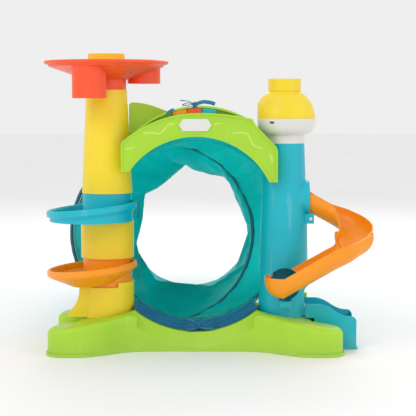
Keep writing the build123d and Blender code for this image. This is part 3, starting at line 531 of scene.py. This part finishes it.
held_group = drape.vertex_groups.new(name="held")
for j, (line, _, _, held) in enumerate(shape):
    if held:
        held_group.add([j * AROUND + i for i in range(AROUND)], 1.0, "REPLACE")
sim = drape.modifiers.new("drape", "CLOTH")
settings = sim.settings
settings.vertex_group_mass = "held"
settings.quality = 6
settings.mass = 0.12
settings.tension_stiffness = 22
settings.compression_stiffness = 6
settings.shear_stiffness = 4
settings.bending_stiffness = 0.06
settings.air_damping = 4
settings.shrink_min = -0.045
sim.collision_settings.use_collision = False
last_frame = 34
sim.point_cache.frame_start = 1
sim.point_cache.frame_end = last_frame
for number in range(1, last_frame + 1):
    scene.frame_set(number)
graph = bpy.context.evaluated_depsgraph_get()
draped = bpy.data.meshes.new_from_object(drape.evaluated_get(graph))
scene.frame_set(1)
drape.modifiers.clear()
moved = [vertex.co.copy() for vertex in draped.vertices]

# Keep the draped cloth inside its hoops and off the floor.
final_rows = []
for j, (start_line, most_out, most_in, held) in enumerate(shape):
    line = []
    for i, point in enumerate(start_line):
        here = moved[j * AROUND + i]
        angle = 2 * math.pi * i / AROUND
        out = Vector((math.cos(angle), 0, math.sin(angle)))
        outward = (here - point).dot(out)
        here = here + out * (min(most_out, max(-most_in, outward)) - outward)
        here.y = point.y + min(0.012, max(-0.012, here.y - point.y))
        here.z = max(here.z, 0.004)
        line.append(here)
    final_rows.append(line)
bpy.data.objects.remove(drape)
split = len(front_t) + len(hold_y)
fabric_front = grid_mesh("tunnel_fabric_front", final_rows[:split], True, tunnel_uv[:split])
fabric_rear = grid_mesh("tunnel_fabric_rear", final_rows[split - 1 :], True, tunnel_uv[split - 1 :])
for piece in (fabric_front, fabric_rear):
    settle(piece, subdivide=1)
    dress(piece, nylon, ROOT)
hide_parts("tunnel_fabric")


# ---- Blue hem that lies over the base at the mouth -----------------------------------
HEM_HALF = math.radians(40.2)
HEM_COUNT = 380
HEM_PLEATS = 78


def hem_rows_and_uv():
    """A gathered open strip over the saddle, with lengthwise folds and fine pleats."""
    picker = random.Random(11)
    pleats = [picker.uniform(0.55, 1.0) for _ in range(HEM_PLEATS + 2)]
    rows = []
    uv = []
    for j in range(25):
        t = j / 24
        line = []
        coords = []
        for i in range(HEM_COUNT + 1):
            s = i / HEM_COUNT
            angle = -math.pi / 2 + HEM_HALF * (2 * s - 1)
            phase = HEM_PLEATS * s + 0.30 * math.sin(5 * t + 9 * s)
            index = int(max(0.0, phase))
            high = pleats[index] * (1 - phase % 1) + pleats[index + 1] * (phase % 1)
            pleat = 0.0019 * high * (0.5 - 0.5 * math.cos(2 * math.pi * phase))
            fold = 0.0032 * (0.5 - 0.5 * math.cos(2 * math.pi * 3 * t))
            radius = 0.2398 - 0.0130 * smooth_step(t * 1.1) - pleat - fold
            y = -0.041 + 0.060 * t + 0.0015 * math.sin(2 * math.pi * phase) * (1 - t)
            line.append(ring_point((MOUTH[0], y, MOUTH[2]), angle, radius))
            coords.append((SKIRT_R * angle, 0.06 * t))
        rows.append(line)
        uv.append(coords)
    return rows, uv


hem_rows, hem_uv = hem_rows_and_uv()
hem = grid_mesh("mouth_hem", hem_rows, False, hem_uv)
settle(hem, thick=0.0010)
dress(hem, hem_cloth, ROOT)
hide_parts("mouth_apron")


# ---- Hoop sleeves --------------------------------------------------------------------
def sleeve(name, place, body, node_name, seed, hoop_r=HOOP_R):
    """The gathered cloth channel sewn round a hoop, outside the tunnel's cloth."""
    picker = random.Random(seed)
    bumps = [picker.uniform(-1, 1) for _ in range(120)]
    rows = []
    uv = []
    count = 240
    around = 12
    for i in range(count + 1):
        angle = 2 * math.pi * i / count
        phase = 120 * i / count
        part = phase % 1
        gather = bumps[int(phase) % 120] * (1 - part) + bumps[(int(phase) + 1) % 120] * part
        line = []
        coords = []
        for k in range(around):
            turn = 2 * math.pi * k / around
            wide = 0.0078 + 0.0007 * gather
            deep = 0.0056 + 0.0004 * gather
            r = max(hoop_r - 0.0040, hoop_r + deep * math.cos(turn))
            y = place[1] + wide * math.sin(turn)
            z = max(0.0008, place[2] + r * math.sin(angle))
            line.append(Vector((place[0] + r * math.cos(angle), y, z)))
            coords.append((0.003 * k, hoop_r * angle))
        rows.append(line)
        uv.append(coords)
    piece = grid_mesh(name, rows, True, uv)
    dress(piece, binding, body)
    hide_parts(node_name)
    return piece


for number, (place, body, node_name) in enumerate(zip(HOOPS, HOOP_BODIES, HOOP_NODES)):
    sleeve(f"sleeve_{node_name}", place, body, node_name, 20 + number)
sleeve("sleeve_hoop_front", MOUTH, ROOT, "hoop_front", 30, MOUTH_HOOP_R)


# ---- Ribbon ties ------------------------------------------------------------------------
def ribbon(name, points, across, width, twist=0.0):
    """A flat ribbon along a smooth line; across is its width's direction at the start."""
    line = curve_points(points, 7)
    rows = []
    uv = []
    length = 0.0
    for n, here in enumerate(line):
        ahead = (line[min(n + 1, len(line) - 1)] - line[max(n - 1, 0)]).normalized()
        side = Vector(across)
        side = (side - ahead * side.dot(ahead)).normalized()
        turn = twist * n / len(line)
        side = side * math.cos(turn) + ahead.cross(side) * math.sin(turn)
        bow = ahead.cross(side) * 0.0006
        if n:
            length += (here - line[n - 1]).length
        rows.append(
            [here + side * width * (k / 4 - 0.5) + bow * (1 - (k / 2 - 1) ** 2) for k in range(5)]
        )
        uv.append([(width * k / 4, length) for k in range(5)])
    piece = grid_mesh(name, rows, False, uv)
    settle(piece, thick=0.0009)
    dress(piece, ribbon_cloth, ROOT)
    return piece


def knot(name, centre, size):
    """A small pulled knot: a rounded lump with wrapped folds."""
    rows = []
    for j in range(17):
        v = math.pi * j / 16
        line = []
        for i in range(28):
            u = 2 * math.pi * i / 28
            fold = 1 + 0.10 * math.sin(3 * u + 5 * v) + 0.05 * math.sin(7 * u - 3 * v)
            line.append(
                Vector(centre)
                + Vector(
                    (
                        size[0] * math.sin(v) * math.cos(u) * fold,
                        size[1] * math.sin(v) * math.sin(u) * fold,
                        size[2] * math.cos(v) * fold,
                    )
                )
            )
        rows.append(line)
    piece = grid_mesh(name, rows, True)
    settle(piece, subdivide=1)
    return dress(piece, ribbon_cloth, ROOT)


deck = 0.604
top_wrap = ribbon(
    "tie_top_wrap",
    [
        (-0.001, 0.003, deck + 0.001),
        (-0.001, -0.030, deck + 0.0025),
        (-0.001, -0.058, deck + 0.002),
        (-0.001, -0.064, deck - 0.006),
    ],
    (1, 0, 0),
    0.011,
)
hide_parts("tie_top")
knot("tie_top_knot", (-0.001, -0.062, deck + 0.004), (0.0065, 0.005, 0.005))
ribbon(
    "tie_top_wide_end",
    [
        (0.002, -0.062, deck + 0.004),
        (0.018, -0.066, deck + 0.009),
        (0.034, -0.067, deck + 0.008),
        (0.048, -0.064, deck + 0.004),
    ],
    (0.1, 0.35, 1),
    0.009,
    0.5,
)
ribbon(
    "tie_top_thin_end",
    [
        (-0.004, -0.062, deck + 0.004),
        (-0.016, -0.065, deck + 0.011),
        (-0.027, -0.066, deck + 0.012),
        (-0.036, -0.064, deck + 0.013),
    ],
    (0.1, 1, 0.35),
    0.005,
    0.9,
)
ribbon(
    "tie_top_loop",
    [
        (-0.003, -0.063, deck + 0.003),
        (-0.018, -0.067, deck + 0.007),
        (-0.031, -0.066, deck + 0.002),
        (-0.020, -0.061, deck + 0.001),
        (-0.003, -0.060, deck + 0.003),
    ],
    (0, 1, 0.2),
    0.006,
)
ribbon(
    "tie_rail_end",
    [
        (-0.052, -0.070, 0.5950),
        (-0.058, -0.074, 0.5925),
        (-0.064, -0.076, 0.5890),
        (-0.069, -0.077, 0.5840),
    ],
    (0, 0.4, 1),
    0.007,
)

bow_y = -0.048
bottom_knot = knot("tie_bottom_knot", (0.008, bow_y, 0.060), (0.007, 0.005, 0.006))
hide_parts("tie_bottom")
ribbon(
    "tie_bottom_loop_left",
    [
        (0.006, bow_y, 0.060),
        (-0.008, bow_y - 0.004, 0.072),
        (-0.022, bow_y - 0.002, 0.074),
        (-0.020, bow_y, 0.063),
        (-0.006, bow_y, 0.058),
        (0.006, bow_y, 0.058),
    ],
    (0, 1, 0),
    0.010,
)
ribbon(
    "tie_bottom_loop_right",
    [
        (0.010, bow_y, 0.060),
        (0.022, bow_y - 0.004, 0.073),
        (0.038, bow_y - 0.002, 0.076),
        (0.039, bow_y, 0.066),
        (0.024, bow_y, 0.058),
        (0.010, bow_y, 0.058),
    ],
    (0, 1, 0),
    0.010,
)
ribbon(
    "tie_bottom_end_left",
    [
        (0.006, bow_y, 0.058),
        (-0.004, bow_y - 0.004, 0.052),
        (-0.014, bow_y - 0.006, 0.0505),
        (-0.024, bow_y - 0.008, 0.050),
    ],
    (0, 0.6, 1),
    0.008,
    0.6,
)
ribbon(
    "tie_bottom_end_right",
    [
        (0.010, bow_y, 0.058),
        (0.022, bow_y - 0.004, 0.053),
        (0.034, bow_y - 0.006, 0.0525),
        (0.045, bow_y - 0.008, 0.054),
    ],
    (0, 0.6, 1),
    0.008,
    -0.5,
)

strap = ribbon(
    "tie_left_strap",
    [
        (-0.1455, -0.021, 0.376),
        (-0.1420, -0.024, 0.360),
        (-0.1400, -0.026, 0.344),
        (-0.1440, -0.026, 0.326),
    ],
    (0, 1, 0),
    0.008,
    0.7,
)
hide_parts("tie_left")


# ---- Raised lines on the arch, coloured a lighter lime as a painted highlight ---------------
ARCH_FACE = -0.0815


def bead(name, points, radius=0.0024):
    """A low half-round raised line on the arch's front face, in a lighter lime that is a painted
    highlight.
    """
    line = curve_points([(x, ARCH_FACE, z) for x, z in points], 8)
    rows = []
    for n, here in enumerate(line):
        ahead = (line[min(n + 1, len(line) - 1)] - line[max(n - 1, 0)]).normalized()
        side = ahead.cross(Vector((0, 1, 0))).normalized()
        ends = min(1.0, 0.25 + 0.5 * min(n, len(line) - 1 - n))
        ring = []
        for k in range(10):
            turn = 2 * math.pi * k / 10
            rise = 0.7 * radius * ends * math.sin(turn)
            ring.append(here + side * radius * ends * math.cos(turn) + Vector((0, rise, 0)))
        rows.append(ring)
    piece = grid_mesh(name, rows, True)
    mesh = bmesh.new()
    mesh.from_mesh(piece.data)
    bmesh.ops.holes_fill(mesh, edges=[e for e in mesh.edges if e.is_boundary])
    mesh.to_mesh(piece.data)
    mesh.free()
    return dress(piece, painted_highlight_lime, ROOT)


bead("arch_wave_1", [(-0.171, 0.4985), (-0.158, 0.501), (-0.146, 0.5015)])
bead(
    "arch_wave_2",
    [
        (-0.127, 0.536),
        (-0.107, 0.5385),
        (-0.087, 0.536),
        (-0.076, 0.545),
        (-0.066, 0.557),
        (-0.051, 0.561),
    ],
)
bead("arch_wave_3", [(0.046, 0.557), (0.055, 0.561), (0.064, 0.561)])
bead(
    "arch_wave_4",
    [
        (0.089, 0.536),
        (0.108, 0.5385),
        (0.126, 0.536),
        (0.134, 0.522),
        (0.143, 0.507),
        (0.165, 0.500),
    ],
)
bead("arch_wave_5", [(0.181, 0.486), (0.186, 0.476), (0.187, 0.464)])


# ---- Stage, lights and camera ---------------------------------------------------------------
bpy.ops.mesh.primitive_plane_add(size=40, location=(0, 0, -0.0005))
floor = bpy.context.object
floor.name = "floor"
floor_mat, floor_tree, floor_shader, _ = new_material("floor_paper")
floor_coords = floor_tree.nodes.new("ShaderNodeTexCoord").outputs["Object"]
floor_tint = ramp(
    floor_tree,
    add_noise(floor_tree, floor_coords, 1.5, 4.0),
    ((0.3, (0.93, 0.93, 0.93, 1)), (0.7, (0.96, 0.96, 0.96, 1))),
)
floor_tree.links.new(floor_tint, floor_shader.inputs["Base Color"])
floor_shader.inputs["Roughness"].default_value = 0.7
floor.data.materials.append(floor_mat)

world = bpy.data.worlds.new("studio")
world.use_nodes = True
world.node_tree.nodes["Background"].inputs["Color"].default_value = (1.0, 1.0, 1.0, 1.0)
world.node_tree.nodes["Background"].inputs["Strength"].default_value = 0.86
scene.world = world


def area_light(name, place, target, size, energy):
    """A soft square light aimed at a point."""
    data = bpy.data.lights.new(name, "AREA")
    data.size = size
    data.energy = energy
    lamp = bpy.data.objects.new(name, data)
    lamp.location = place
    lamp.rotation_euler = (Vector(target) - Vector(place)).to_track_quat("-Z", "Y").to_euler()
    scene.collection.objects.link(lamp)


KEY_WATTS = 24
FILL_WATTS = 8
BACK_WATTS = 26
area_light("key", (-1.8, -2.4, 2.6), (0, 0, 0.35), 1.6, KEY_WATTS)
area_light("fill", (2.4, -1.6, 1.5), (0, 0, 0.3), 1.8, FILL_WATTS)
area_light("back", (0.3, 2.6, 2.4), (0, 0.4, 0.3), 2.0, BACK_WATTS)

LENS_MM = 103.85
LOOK_DOWN = 5.05
camera_data = bpy.data.cameras.new("camera")
camera_data.lens = LENS_MM
camera_data.sensor_width = 36.0
camera_data.clip_end = 60.0
camera = bpy.data.objects.new("camera", camera_data)
camera.location = (0.031, -3.0, 0.613)
camera.rotation_euler = (math.radians(90 - LOOK_DOWN), 0, 0)
scene.collection.objects.link(camera)
scene.camera = camera
scene.view_settings.view_transform = "Standard"

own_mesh(fabric_rear)
